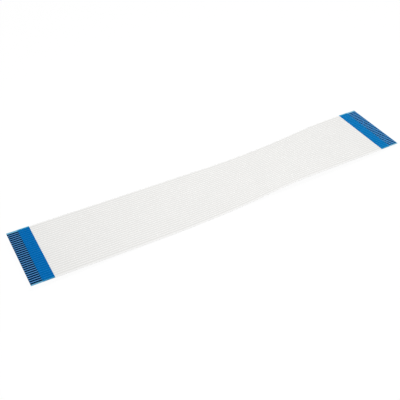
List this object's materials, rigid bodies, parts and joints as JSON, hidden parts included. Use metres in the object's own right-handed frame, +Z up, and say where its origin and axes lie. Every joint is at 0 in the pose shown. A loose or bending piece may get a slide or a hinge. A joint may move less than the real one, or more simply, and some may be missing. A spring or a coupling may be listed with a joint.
{
  "type": "flat flex cable",
  "caption": "Flat flex cable: a row of flat conductors between white ribbed films, bare underneath at both tips, with a blue stiffener tape on the back of each tip, lying in a gentle wave.",
  "frame": {"origin": "middle of the cable's outline, on the surface that it lies on", "axes": "+X along the cable towards the right tip, +Y across it, +Z up, away from that surface; the contacts face down"},
  "size_m": [0.15, 0.027, 0.0035],
  "materials": {
    "film": "white opaque film with a soft satin face and a low rib over each conductor",
    "stiffener_tape": "blue see-through film, smooth, satin to gloss",
    "conductor": "tinned copper strip, bright with fine lengthwise drawing lines"
  },
  "bodies": {
    "root": {"upper_film": "film", "lower_film": "film", "left_stiffener": "stiffener_tape", "right_stiffener": "stiffener_tape", "conductor_01": "conductor", "conductor_02": "conductor", "conductor_03": "conductor", "conductor_04": "conductor", "conductor_05": "conductor", "conductor_06": "conductor", "conductor_07": "conductor", "conductor_08": "conductor", "conductor_09": "conductor", "conductor_10": "conductor", "conductor_11": "conductor", "conductor_12": "conductor", "conductor_13": "conductor", "conductor_14": "conductor", "conductor_15": "conductor", "conductor_16": "conductor", "conductor_17": "conductor", "conductor_18": "conductor", "conductor_19": "conductor", "conductor_20": "conductor", "conductor_21": "conductor", "conductor_22": "conductor", "conductor_23": "conductor", "conductor_24": "conductor", "conductor_25": "conductor", "conductor_26": "conductor"}
  },
  "joints": []
}
